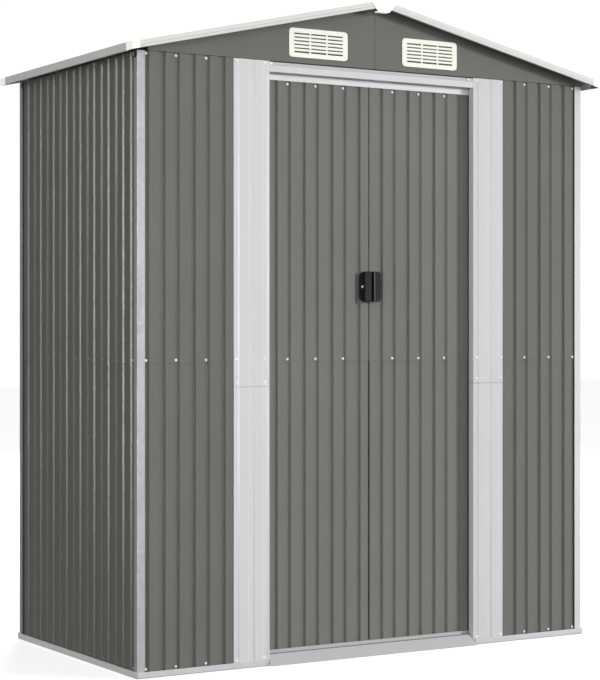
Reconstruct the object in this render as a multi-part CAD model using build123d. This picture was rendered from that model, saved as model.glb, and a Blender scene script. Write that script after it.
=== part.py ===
from build123d import *
import os
import math

os.makedirs("parts", exist_ok=True)

# Metal storage shed. Millimetres, +Z up, X along the front, front faces -Y.
# Origin: centre of the footprint, on the plane the base rails stand on.

# ---- driving dimensions -------------------------------------------------
BX = 893.5            # half width between the side walls' bolt planes
BY = 481.0            # front walls' bolt plane, ahead of the roof's middle
BACK_IN = 23.0        # the back wall stands this much nearer the roof's middle
RIB_H = 8.0           # rib height, outward of the bolt plane
SHEET_T = 1.0         # sheet thickness as modelled
LAP = 1.2             # step inward of a lower sheet behind an upper one
PITCH = 110.0         # bolt spacing across the sheets
WALL_TOP = 2002.0
SHEET_BOTTOM = 8.0
LAP_Z = 1004.0        # lower edge of the upper wall sheets
LAP_TOP = 1022.0      # upper edge of the lower wall sheets
JAMB_LAP_Z = 924.0
JAMB_LAP_TOP = 948.0

POST_X = 903.0        # half width over the corner posts
POST_Y = 486.0        # front faces of the front posts
POST_LEG = 27.8       # front face of a post
POST_SIDE = 22.0      # side face of a post
POST_T = 1.5
POST_FLANGE = 55.0    # reach of the flange behind the sheets

BASE_X = 905.0        # half width over the base rails
BASE_Y = 493.0        # front face of the front base rail
BASE_BACK = 496.0     # the same for the back rail, before the wall is set in
BASE_LIP = 21.0
BASE_T = 1.5
BASE_UP = 45.0        # inner upstand of a base rail

DOOR_HALF = 416.5     # half width of the doorway, between the jambs
JAMB_OUT_L = 552.0    # outer edge of the left jamb, from the centre
JAMB_OUT_R = 546.5    # outer edge of the right jamb, from the centre
WALL_IN = 521.5       # front wall sheets end here, behind the jambs
JAMB_RETURN = 20.0    # depth of the jamb's return behind the bolt plane

LEAF_GAP = 2.5        # half the gap between the two leaves when shut
LEAF_W = 431.0        # reaches a little behind the jamb
LEAF_FRONT = 27.0     # rib tops of a leaf, behind the bolt plane
LEAF_VALLEY = 35.0
LEAF_BOTTOM = 30.0
LEAF_TOP = 1972.0
TRAVEL = 360.0        # slide of each leaf
HANDLE_IN = 2.5       # pull handle: from the leaf's meeting edge to its upright
HANDLE_OUT = 41.0     # to the plate's outer edge
HANDLE_GRIP = 30.0    # to the grip's outer edge
HANDLE_DEEP = 24.0    # how far the grip stands out
HANDLE_Z0 = 1208.0
HANDLE_Z1 = 1311.5

ROOF_X = 946.0        # half width over the eaves
ROOF_Y = 543.0        # half depth over the roof trims
SLOPE = 0.2245        # roof rise per run
TRIM_LOW = 2207.2     # lower edge of the gable trims, at the ridge
TRIM_TALL = 24.0
ROOF_RIB_TOP = 2229.0 # tops of the roof ribs, at the ridge
ROOF_RIB_H = 7.0
GABLE_FACE = 7.0      # gable sheet's face, outward of the bolt plane
GABLE_END = 866.0

VENT_X = 227.0
VENT_W = 230.0
VENT_H = 97.0
VENT_Z = 2070.0

ANGLE = math.degrees(math.atan(SLOPE))


def box(x0, x1, y0, y1, z0, z1):
    return Pos((x0 + x1) / 2, (y0 + y1) / 2, (z0 + z1) / 2) * Box(
        abs(x1 - x0), abs(y1 - y0), abs(z1 - z0))


def save(shape, name):
    export_step(shape, f"parts/{name}.step")


def to_back(shape):
    """The same piece on the back wall."""
    return Pos(0, -BACK_IN, 0) * mirror(shape, about=Plane.XZ)


def poly_prism(points, axis, a0, a1):
    """Closed polygon swept straight along one axis, from a0 to a1."""
    if axis == "z":
        plane = Plane((0, 0, a0), x_dir=(1, 0, 0), z_dir=(0, 0, 1))
    elif axis == "y":     # polygon in (x, z)
        plane = Plane((0, a0, 0), x_dir=(1, 0, 0), z_dir=(0, -1, 0))
    else:                 # polygon in (y, z)
        plane = Plane((a0, 0, 0), x_dir=(0, 1, 0), z_dir=(1, 0, 0))
    face = make_face(Polyline(*[(p[0], p[1]) for p in points], close=True))
    length = (a1 - a0) if axis != "y" else (a0 - a1)
    return extrude(plane * face, amount=length)


# ---- ribbed sheet profile -----------------------------------------------
# Around each bolt: a valley that holds the bolt, a ridge, a second valley
# and a second ridge, then the next bolt.
STEPS = [(-12.0, 1), (-8.0, 0), (4.0, 0), (10.0, 1), (44.0, 1), (48.0, 0),
         (64.0, 0), (67.5, 1)]


def profile(u0, u1, bolt, height, start=None):
    """With start, the sheet is flat from its first edge to there."""
    pts = []
    k0 = int(math.floor((u0 - bolt) / PITCH)) - 1
    k1 = int(math.ceil((u1 - bolt) / PITCH)) + 1
    raw = []
    for k in range(k0, k1 + 1):
        for s, v in STEPS:
            raw.append((bolt + k * PITCH + s, v * height))
    first = u0 + 3.0 if start is None else start
    keep = [i for i, (u, v) in enumerate(raw) if first < u < u1 - 3.0]

    def end_level(u_end, kept, beyond):
        (uk, vk), (ub, vb) = raw[kept], raw[beyond]
        if vk == vb or u0 <= ub <= u1:
            return vb
        return vk + (vb - vk) * (u_end - uk) / (ub - uk)

    pts.append((u0, end_level(u0, keep[0], keep[0] - 1) if start is None else raw[keep[0]][1]))
    pts += [raw[i] for i in keep]
    pts.append((u1, end_level(u1, keep[-1], keep[-1] + 1)))
    return pts


def offset_line(pts, t):
    """Mitred copy of a left-to-right line, moved down by t along its normals."""
    out = []
    n = len(pts)
    for i in range(n):
        dirs = []
        if i > 0:
            dirs.append((pts[i][0] - pts[i - 1][0], pts[i][1] - pts[i - 1][1]))
        if i < n - 1:
            dirs.append((pts[i + 1][0] - pts[i][0], pts[i + 1][1] - pts[i][1]))
        norms = []
        for dx, dy in dirs:
            l = math.hypot(dx, dy)
            norms.append((dy / l, -dx / l))
        nx = sum(q[0] for q in norms)
        ny = sum(q[1] for q in norms)
        l = math.hypot(nx, ny)
        nx, ny = nx / l, ny / l
        cosv = nx * norms[0][0] + ny * norms[0][1]
        if i in (0, n - 1):
            out.append((pts[i][0], pts[i][1] + t / norms[0][1]))
        else:
            out.append((pts[i][0] + nx * t / cosv, pts[i][1] + ny * t / cosv))
    return out


def sheet_ring(u0, u1, bolt, shift=0.0, height=RIB_H, t=SHEET_T, start=None):
    top = profile(u0, u1, bolt, height, start)
    outer = offset_line(top, shift) if shift > 0 else top
    return outer + offset_line(top, shift + t)[::-1]


def front_sheet(x0, x1, bolt, z0, z1, shift=0.0, y_ref=-BY):
    ring = [(u, y_ref - d) for u, d in sheet_ring(x0, x1, bolt, shift)]
    return poly_prism(ring, "z", z0, z1)


def left_sheet(y0, y1, bolt, z0, z1, shift=0.0):
    ring = [(-BX - d, u) for u, d in sheet_ring(y0, y1, bolt, shift, start=bolt - 5.0)]
    return poly_prism(ring, "z", z0, z1)


FRONT_BOLT = -BX + 22.8
RIGHT_BOLT = FRONT_BOLT + 1739.4
SIDE_BOLT = -BY + 40.7
X_IN = POST_X - POST_LEG - 0.6      # sheet ends beside the posts
Y_IN = POST_Y - POST_SIDE - 0.6

# ---- walls ----------------------------------------------------------------
fl_out, fl_in = -X_IN, -WALL_IN
fr_in, fr_out = WALL_IN, X_IN
front_left_lower = front_sheet(fl_out, fl_in, FRONT_BOLT, SHEET_BOTTOM, LAP_TOP, 2 * LAP)
front_left_upper = front_sheet(fl_out, fl_in, FRONT_BOLT, LAP_Z, WALL_TOP, LAP)
front_right_lower = front_sheet(fr_in, fr_out, RIGHT_BOLT, SHEET_BOTTOM, LAP_TOP, 2 * LAP)
front_right_upper = front_sheet(fr_in, fr_out, RIGHT_BOLT, LAP_Z, WALL_TOP, LAP)
save(front_left_lower, "front_wall_left_lower")
save(front_left_upper, "front_wall_left_upper")
save(front_right_lower, "front_wall_right_lower")
save(front_right_upper, "front_wall_right_upper")

left_lower = left_sheet(-Y_IN, Y_IN - BACK_IN, SIDE_BOLT, SHEET_BOTTOM, LAP_TOP, LAP)
left_upper = left_sheet(-Y_IN, Y_IN - BACK_IN, SIDE_BOLT, LAP_Z, WALL_TOP, 0.0)
save(left_lower, "left_wall_lower")
save(left_upper, "left_wall_upper")
save(mirror(left_lower, about=Plane.YZ), "right_wall_lower")
save(mirror(left_upper, about=Plane.YZ), "right_wall_upper")

back_lower = to_back(front_sheet(-X_IN, X_IN, FRONT_BOLT, SHEET_BOTTOM, LAP_TOP, LAP))
back_upper = to_back(front_sheet(-X_IN, X_IN, FRONT_BOLT, LAP_Z, WALL_TOP, 0.0))
save(back_lower, "back_wall_lower")
save(back_upper, "back_wall_upper")

# ---- door jambs: the same ribbed section in white, with a return at the doorway


def jamb(x0, x1, bolt, z0, z1, shift, inner):
    body = front_sheet(x0, x1, bolt, z0, z1, shift)
    lip = box(inner, inner + (1.5 if inner > 0 else -1.5),
              -BY - RIB_H, -BY + JAMB_RETURN, max(z0, 22.0), min(z1, 1965.0))
    return body + lip


def jamb_pair(x0, x1, bolt, inner):
    low = jamb(x0, x1, bolt, SHEET_BOTTOM, JAMB_LAP_Z - 0.5, 0.0, inner)
    high = jamb(x0, x1, bolt, JAMB_LAP_Z + 0.5, WALL_TOP - 0.5, 0.0, inner)
    return Compound(children=[low, high])


jamb_left = jamb_pair(-JAMB_OUT_L, -DOOR_HALF, FRONT_BOLT, -DOOR_HALF)
jamb_right = jamb_pair(DOOR_HALF, JAMB_OUT_R, RIGHT_BOLT, DOOR_HALF)
save(jamb_left, "door_jamb_left")
save(jamb_right, "door_jamb_right")

# ---- corner posts ----------------------------------------------------------


def corner_post():
    """Front left post, outer corner at (-POST_X, -POST_Y)."""
    x, y = -POST_X, -POST_Y
    fy, fx = -BY + 4.0, -BX + 2.5      # faces of the flanges behind the sheets
    s = box(x, x + POST_LEG, y, y + POST_T, 1.7, WALL_TOP)
    s += box(x, x + POST_T, y, y + POST_SIDE, 1.7, WALL_TOP)
    s += box(x + POST_LEG - POST_T, x + POST_LEG, y, fy + POST_T, 1.7, WALL_TOP)
    s += box(x, fx + POST_T, y + POST_SIDE - POST_T, y + POST_SIDE, 1.7, WALL_TOP)
    s += box(x + POST_LEG - POST_T, x + POST_FLANGE, fy, fy + POST_T, 1.7, WALL_TOP)
    s += box(fx, fx + POST_T, y + POST_SIDE - POST_T, y + POST_FLANGE - 3.0, 1.7, WALL_TOP)
    return s


post_fl = corner_post()
save(post_fl, "corner_post_front_left")
save(mirror(post_fl, about=Plane.YZ), "corner_post_front_right")
save(to_back(post_fl), "corner_post_back_left")
save(mirror(to_back(post_fl), about=Plane.YZ), "corner_post_back_right")

# ---- base rails --------------------------------------------------------------
RAIL_END = DOOR_HALF + 5.5


def base_front_part(x0, x1, face=BASE_Y):
    s = box(x0, x1, -face, -face + BASE_T, 0, BASE_LIP)
    s += box(x0, x1, -face, -BY + 7.5, 0, BASE_T)
    ux0, ux1 = max(x0, -POST_X + 14.0), min(x1, POST_X - 14.0)
    s += box(ux0, ux1, -BY + 6.0, -BY + 7.5, 0, BASE_UP)
    return s


front_a = base_front_part(-BASE_X + BASE_T + 0.3, -RAIL_END)
front_b = base_front_part(RAIL_END, BASE_X - BASE_T - 0.3)
save(Compound(children=[front_a, front_b]), "base_rail_front")
back_rail = to_back(base_front_part(-BASE_X + BASE_T + 0.3, BASE_X - BASE_T - 0.3, BASE_BACK))
save(back_rail, "base_rail_back")

left_rail = box(-BASE_X, -BASE_X + BASE_T, -BASE_Y, BASE_BACK - BACK_IN, 0, BASE_LIP)
left_rail += box(-BASE_X, -BX + 6.5, -BY + 66.0, BY - BACK_IN - 8.0, 0, BASE_T)
left_rail += box(-BX + 5.0, -BX + 6.5, -BY + 66.0, BY - BACK_IN - 8.0, 0, BASE_UP)
save(left_rail, "base_rail_left")
save(mirror(left_rail, about=Plane.YZ), "base_rail_right")

# ---- doorway: floor track and sloped threshold --------------------------------
TRACK_X = 884.0
track = box(-TRACK_X, TRACK_X, -BY + 14.0, -BY + 62.0, 0, 1.5)
track += box(-TRACK_X, TRACK_X, -BY + 14.0, -BY + 15.5, 0, 20.0)
track += box(-TRACK_X, TRACK_X, -BY + 60.5, -BY + 62.0, 0, 20.0)
track += box(-TRACK_X, TRACK_X, -BY + 34.0, -BY + 36.0, 0, 20.0)
save(track, "door_floor_track")

RAMP_X = RAIL_END - 1.0
ramp_ring = [(-BY - 24.0, 0.0), (-BY - 22.5, 0.0), (-BY - 22.5, 1.2), (-BY + 11.5, 35.4),
             (-BY + 11.5, 0.0), (-BY + 13.5, 0.0), (-BY + 13.5, 37.0), (-BY + 11.3, 37.0),
             (-BY - 24.0, 1.6)]
ramp = poly_prism(ramp_ring, "x", -RAMP_X, RAMP_X)
for sx in (-1, 1):
    ramp -= box(sx * (DOOR_HALF - 0.8), sx * (RAMP_X + 5.0), -BASE_Y - 0.8, -BY + 20.0, -1.0, 60.0)
save(ramp, "door_threshold")

# ---- header over the doorway ----------------------------------------------------
header = box(-DOOR_HALF + 0.6, DOOR_HALF - 0.6, -BY - 6.0, -BY - 4.5, 1966.0, 2001.0)
header += box(-DOOR_HALF + 0.6, DOOR_HALF - 0.6, -BY - 6.0, -BY + 5.8, 1966.0, 1967.5)
header += box(-DOOR_HALF + 0.6, DOOR_HALF - 0.6, -BY - 6.0, -BY + 5.8, 1999.5, 2001.0)
save(header, "door_header")

HT_X = 888.8
htrack = box(-HT_X, HT_X, -BY + 6.0, -BY + 7.5, 1966.0, 2002.0)
htrack += box(-HT_X, HT_X, -BY + 6.0, -BY + 62.0, 2000.5, 2002.0)
htrack += box(-HT_X, HT_X, -BY + 60.5, -BY + 62.0, 1966.0, 2002.0)
save(htrack, "door_header_track")

# ---- rails inside the walls --------------------------------------------------------


def c_rail_side(y0, y1, z0, z1):
    x = -BX + 4.4
    s = box(x, x + 1.5, y0, y1, z0, z1)
    s += box(x, x + 20.0, y0, y1, z0, z0 + 1.5)
    s += box(x, x + 20.0, y0, y1, z1 - 1.5, z1)
    return s


def c_rail_back(x0, x1, z0, z1):
    y = BY - BACK_IN - 6.0
    s = box(x0, x1, y - 1.5, y, z0, z1)
    s += box(x0, x1, y - 20.0, y, z0, z0 + 1.5)
    s += box(x0, x1, y - 20.0, y, z1 - 1.5, z1)
    return s


side_top = c_rail_side(-BY + 62.5, BY - BACK_IN - 26.0, 1962.0, 2002.0)
side_mid = c_rail_side(-BY + 64.0, BY - BACK_IN - 26.0, 995.0, 1030.0)
back_top = c_rail_back(-886.0, 886.0, 1962.0, 2002.0)
back_mid = c_rail_back(-886.0, 886.0, 995.0, 1030.0)
save(Compound(children=[side_top, mirror(side_top, about=Plane.YZ), back_top,
                        side_mid, mirror(side_mid, about=Plane.YZ), back_mid]), "wall_rails")

# ---- gables ---------------------------------------------------------------------------
UNDER = ROOF_RIB_TOP - ROOF_RIB_H - SHEET_T     # underside of the roof sheets, at the ridge


def under(x, drop=1.0):
    return UNDER - drop - SLOPE * abs(x)


def gable_half(sign):
    y0 = -BY - GABLE_FACE
    ring = [(sign * 0.6, 2002.6), (sign * GABLE_END, 2002.6),
            (sign * GABLE_END, under(GABLE_END)), (sign * 0.6, under(0.6))]
    plate = poly_prism(ring, "y", y0, y0 + 2.0)
    hole = box(sign * VENT_X - 90.0, sign * VENT_X + 90.0, y0 - 5, y0 + 5, VENT_Z - 33.0, VENT_Z + 33.0)
    lip = box(sign * 0.6, sign * GABLE_END, y0, -BY + 20.0, 2002.6, 2004.1)
    return plate - hole + lip


gable_left = gable_half(-1)
gable_right = gable_half(1)
front_gable = Compound(children=[gable_left, gable_right])
save(front_gable, "gable_front")
back_gable = Compound(children=[to_back(gable_left), to_back(gable_right)])
save(back_gable, "gable_back")


def vent(sign):
    y0 = -BY - GABLE_FACE - 3.1
    plate = box(sign * VENT_X - VENT_W / 2, sign * VENT_X + VENT_W / 2, y0, y0 + 3.0,
                VENT_Z - VENT_H / 2, VENT_Z + VENT_H / 2)
    plate = fillet(plate.edges().filter_by(Axis.Y), 10.0)
    for c in (-64.0, 0.0, 64.0):
        for r in range(6):
            zc = VENT_Z - 30.5 + 12.2 * r
            plate -= box(sign * VENT_X + c - 29.0, sign * VENT_X + c + 29.0, y0 - 1, y0 + 5,
                         zc - 2.8, zc + 2.8)
    return plate


vl, vr = vent(-1), vent(1)
save(Compound(children=[vl, vr, to_back(vl), to_back(vr)]), "gable_vents")

# ---- roof --------------------------------------------------------------------------------
COS = math.cos(math.atan(SLOPE))
SIN = math.sin(math.atan(SLOPE))


def roof_panel_left():
    y1 = ROOF_Y - 2.6
    ring = sheet_ring(-y1, y1, SIDE_BOLT - 55.0, 0.0, ROOF_RIB_H)
    plane = Plane(origin=(-6.0, 0, ROOF_RIB_TOP - ROOF_RIB_H - SLOPE * 6.0), x_dir=(0, 1, 0),
                  z_dir=(-COS, 0, -SIN))
    face = make_face(Polyline(*[(u, -d) for u, d in ring], close=True))
    length = (ROOF_X - 5.0 - 6.0) / COS
    return extrude(plane * face, amount=length)


roof_l = roof_panel_left()
save(roof_l, "roof_panel_left")
save(mirror(roof_l, about=Plane.YZ), "roof_panel_right")

cap_top = ROOF_RIB_TOP + 2.3
cap_ring = [(-58.0, ROOF_RIB_TOP + 0.5 - SLOPE * 58.0), (0.0, ROOF_RIB_TOP + 0.5),
            (58.0, ROOF_RIB_TOP + 0.5 - SLOPE * 58.0), (58.0, ROOF_RIB_TOP + 2.1 - SLOPE * 58.0),
            (0.0, ROOF_RIB_TOP + 2.1), (-58.0, ROOF_RIB_TOP + 2.1 - SLOPE * 58.0)]
ridge_cap = poly_prism(cap_ring, "y", -ROOF_Y + 3.0, ROOF_Y - 3.0)
save(ridge_cap, "roof_ridge_cap")


def purlin(xc, half_w, tall):
    x0, x1 = xc - half_w, xc + half_w
    zt = min(under(x0, 1.5), under(x1, 1.5))
    ln = BY + GABLE_FACE - 2.6
    y0, y1 = -ln, ln - BACK_IN
    s = box(x0, x1, y0, y1, zt - 1.5, zt)
    s += box(x0, x0 + 1.5, y0, y1, zt - tall, zt)
    s += box(x1 - 1.5, x1, y0, y1, zt - tall, zt)
    return s


save(Compound(children=[purlin(0.0, 20.0, 40.0), purlin(-450.0, 15.0, 30.0), purlin(450.0, 15.0, 30.0)]),
     "roof_purlins")


def trim_line(x):
    return TRIM_LOW - SLOPE * abs(x)


CAP_X = 25.0          # plastic corner cap along the front
CAP_Y = 48.0          # plastic corner cap along the side
TRIM_IN = 26.0


def gable_trim(sign):
    xa, xb = TRIM_IN, ROOF_X - CAP_X - 0.5
    face = poly_prism([(sign * xa, trim_line(xa)), (sign * xb, trim_line(xb)),
                       (sign * xb, trim_line(xb) + TRIM_TALL), (sign * xa, trim_line(xa) + TRIM_TALL)],
                      "y", -ROOF_Y, -ROOF_Y + 1.8)
    low = poly_prism([(sign * xa, trim_line(xa)), (sign * xb, trim_line(xb)),
                      (sign * xb, trim_line(xb) + 1.5), (sign * xa, trim_line(xa) + 1.5)],
                     "y", -ROOF_Y, -ROOF_Y + 22.0)
    return face + low


tl, tr = gable_trim(-1), gable_trim(1)
save(Compound(children=[tl, tr, mirror(tl, about=Plane.XZ), mirror(tr, about=Plane.XZ)]), "roof_trim_gables")

EAVE_LOW = trim_line(ROOF_X)
EAVE_TALL = 27.5
ey = ROOF_Y - CAP_Y - 0.5
eave = box(-ROOF_X, -ROOF_X + 1.8, -ey, ey, EAVE_LOW, EAVE_LOW + EAVE_TALL)
eave += box(-ROOF_X, -ROOF_X + 24.0, -ey, ey, EAVE_LOW, EAVE_LOW + 1.5)
save(Compound(children=[eave, mirror(eave, about=Plane.YZ)]), "roof_trim_eaves")


def corner_cap():
    z0, z1 = EAVE_LOW, EAVE_LOW + EAVE_TALL
    x, y = -ROOF_X, -ROOF_Y
    s = box(x, x + 2.2, y, y + CAP_Y, z0, z1)
    rise = SLOPE * CAP_X
    s += poly_prism([(x, z0), (x + CAP_X, z0 + rise), (x + CAP_X, z0 + rise + TRIM_TALL + 1.5), (x, z1)],
                    "y", y, y + 2.2)
    return s


cc = corner_cap()


def ridge_end():
    y = -ROOF_Y - 3.6
    zt = ROOF_RIB_TOP + 3.2
    face = poly_prism([(-22.0, 2189.5), (22.0, 2189.5), (48.0, 2222.0), (62.0, zt + 9 - SLOPE * 62.0),
                       (0.0, zt + 9), (-62.0, zt + 9 - SLOPE * 62.0), (-48.0, 2222.0)], "y", y, y + 3.0)
    core = box(-22.0, 22.0, y, -ROOF_Y + 23.0, 2189.5, 2193.5)
    hood = poly_prism([(-62.0, zt - SLOPE * 62.0), (0.0, zt), (62.0, zt - SLOPE * 62.0),
                       (62.0, zt + 9 - SLOPE * 62.0), (0.0, zt + 9), (-62.0, zt + 9 - SLOPE * 62.0)],
                      "y", y, -ROOF_Y + 23.0)
    return face + core + hood


re_ = ridge_end()
caps = [cc, mirror(cc, about=Plane.YZ), mirror(cc, about=Plane.XZ),
        mirror(mirror(cc, about=Plane.XZ), about=Plane.YZ), re_, mirror(re_, about=Plane.XZ)]
save(Compound(children=caps), "roof_end_caps")

# ---- sliding door leaves --------------------------------------------------------------------
LB = -BY + LEAF_VALLEY
LEFT_LEAF_BOLT = -322.7
RIGHT_LEAF_BOLT = 99.5


def leaf(x0, x1, bolt, tag, sign):
    low = front_sheet(x0 + 1.0, x1 - 1.0, bolt, LEAF_BOTTOM + 3.0, LAP_TOP, LAP, LB)
    up = front_sheet(x0 + 1.0, x1 - 1.0, bolt, LAP_Z, LEAF_TOP - 3.0, 0.0, LB)
    save(low, f"door_{tag}_sheet_lower")
    save(up, f"door_{tag}_sheet_upper")
    # rails: channels that hold the sheets' ends, and the two roller hangers
    yf, yb = -BY + LEAF_FRONT - 2.0, LB + 4.0
    top = box(x0, x1, yf, yb, LEAF_TOP - 1.5, LEAF_TOP)
    top += box(x0, x1, yf, yf + 1.5, LEAF_TOP - 28.0, LEAF_TOP)
    top += box(x0, x1, yb - 1.5, yb, LEAF_TOP - 28.0, LEAF_TOP)
    for xc in (x0 + 60.0, x1 - 60.0):
        top += box(xc - 20.0, xc + 20.0, LB - 5.5, LB - 3.5, LEAF_TOP - 1.5, LEAF_TOP + 18.0)
        wheel = Pos(xc, LB - 0.5, LEAF_TOP + 11.0) * Rot(90, 0, 0) * Cylinder(9.0, 7.0)
        top += wheel
    bottom = box(x0, x1, yf, yb, LEAF_BOTTOM, LEAF_BOTTOM + 1.5)
    bottom += box(x0, x1, yf, yf + 1.5, LEAF_BOTTOM, LEAF_BOTTOM + 16.0)
    bottom += box(x0, x1, yb - 1.5, yb, LEAF_BOTTOM, LEAF_BOTTOM + 16.0)
    save(Compound(children=[top, bottom]), f"door_{tag}_rails")
    # slide shoes under the bottom rail, astride the floor track's middle rib
    shoes = []
    for xc in (x0 + 60.0, x1 - 60.0):
        shoe = box(xc - 15.0, xc + 15.0, LB - 10.0, LB + 10.0, 8.0, LEAF_BOTTOM)
        shoe -= box(xc - 20.0, xc + 20.0, LB - 6.2, LB + 6.2, 0.0, LEAF_BOTTOM - 4.5)
        shoes.append(shoe)
    save(Compound(children=shoes), f"door_{tag}_shoes")
    # pull handle beside the meeting edge: a plate, an upright and a grip folded
    # back over the plate, with the finger pocket open on the outer side
    hx = x1 if sign < 0 else x0
    s = sign
    yp = -BY + LEAF_FRONT
    plate = box(hx + s * HANDLE_IN, hx + s * HANDLE_OUT, yp - 3.0, yp, HANDLE_Z0, HANDLE_Z1)
    grip = box(hx + s * HANDLE_IN, hx + s * HANDLE_GRIP, yp - HANDLE_DEEP, yp - HANDLE_DEEP + 4.0,
               HANDLE_Z0, HANDLE_Z1)
    upright = box(hx + s * HANDLE_IN, hx + s * (HANDLE_IN + 4.0), yp - HANDLE_DEEP, yp, HANDLE_Z0, HANDLE_Z1)

    def outer_edges(shape):
        across = shape.edges().filter_by(Axis.Y).sort_by(Axis.X)
        return across[:2] if s < 0 else across[-2:]

    plate = fillet(outer_edges(plate), 20.0)
    grip = fillet(outer_edges(grip), 13.0)
    save(plate + grip + upright, f"door_{tag}_handle")


leaf(-LEAF_GAP - LEAF_W, -LEAF_GAP, LEFT_LEAF_BOLT, "left", -1)
leaf(LEAF_GAP, LEAF_GAP + LEAF_W, RIGHT_LEAF_BOLT, "right", 1)
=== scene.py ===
import bpy
import bmesh
import math
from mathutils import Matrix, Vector
from mathutils.geometry import tessellate_polygon


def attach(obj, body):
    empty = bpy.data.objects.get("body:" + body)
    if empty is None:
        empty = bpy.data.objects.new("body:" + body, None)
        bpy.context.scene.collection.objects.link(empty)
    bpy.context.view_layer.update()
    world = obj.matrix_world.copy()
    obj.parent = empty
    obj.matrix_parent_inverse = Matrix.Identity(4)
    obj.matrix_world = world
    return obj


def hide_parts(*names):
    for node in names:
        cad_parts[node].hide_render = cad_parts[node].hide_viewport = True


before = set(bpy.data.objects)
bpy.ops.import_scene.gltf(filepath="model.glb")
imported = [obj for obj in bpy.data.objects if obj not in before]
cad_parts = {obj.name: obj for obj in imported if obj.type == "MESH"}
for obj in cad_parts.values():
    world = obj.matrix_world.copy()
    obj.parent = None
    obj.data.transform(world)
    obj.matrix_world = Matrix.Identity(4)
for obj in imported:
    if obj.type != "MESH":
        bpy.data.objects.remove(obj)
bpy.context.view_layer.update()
scene = bpy.context.scene
MM = 0.001

# Dimensions below are in millimetres, in the shed's own frame: front faces -Y, Z up.
BX, BY, RIB_H, PITCH = 893.5, 481.0, 8.0, 110.0
T = 0.9
LAP = 1.2
WALL_TOP, SHEET_BOTTOM = 2002.0, 8.0
LAP_Z, LAP_TOP = 1004.0, 1022.0
JAMB_LAP_Z = 924.0
BACK_IN = 23.0
POST_X, POST_Y, POST_LEG, POST_SIDE, POST_T, POST_FLANGE = 903.0, 486.0, 27.8, 22.0, 1.5, 55.0
BASE_X, BASE_Y, BASE_BACK, BASE_LIP, BASE_T, BASE_UP = 905.0, 493.0, 496.0, 21.0, 1.5, 45.0
DOOR_HALF, JAMB_OUT_L, JAMB_OUT_R, WALL_IN = 416.5, 552.0, 546.5, 521.5
FRONT_BOLT = -BX + 22.8
RIGHT_BOLT = FRONT_BOLT + 1739.4
SIDE_BOLT = -BY + 40.7
X_IN = POST_X - POST_LEG - 0.6
Y_IN = POST_Y - POST_SIDE - 0.6
SLOPE = 0.2245
COS = math.cos(math.atan(SLOPE))
SIN = math.sin(math.atan(SLOPE))
ROOF_X, ROOF_Y = 946.0, 543.0
ROOF_RIB_TOP, ROOF_RIB_H = 2229.0, 7.0
TRIM_LOW, TRIM_TALL = 2207.2, 24.0
LB = -BY + 35.0
LEAF_BOTTOM, LEAF_TOP = 30.0, 1972.0
LEAF_GAP, LEAF_W = 2.5, 431.0


# ------------------------------------------------------------------ materials
def node(nt, kind, **inputs):
    n = nt.nodes.new(kind)
    for k, v in inputs.items():
        n.inputs[k.replace("_", " ")].default_value = v
    return n


def mix_rgb(nt, fac, a, b, blend="MIX"):
    n = nt.nodes.new("ShaderNodeMix")
    n.data_type = "RGBA"
    n.blend_type = blend
    for sock, val in ((0, fac), (6, a), (7, b)):
        if isinstance(val, bpy.types.NodeSocket):
            nt.links.new(val, n.inputs[sock])
        elif sock == 0:
            n.inputs[0].default_value = val
        else:
            n.inputs[sock].default_value = (*val, 1.0)
    return n.outputs[2]


def map_range(nt, val, a, b, c, d):
    n = nt.nodes.new("ShaderNodeMapRange")
    nt.links.new(val, n.inputs[0])
    for i, x in enumerate((a, b, c, d)):
        n.inputs[i + 1].default_value = x
    return n.outputs[0]


def scale_rgb(c, k):
    return tuple(max(0.0, min(1.0, x * k)) for x in c)


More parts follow.
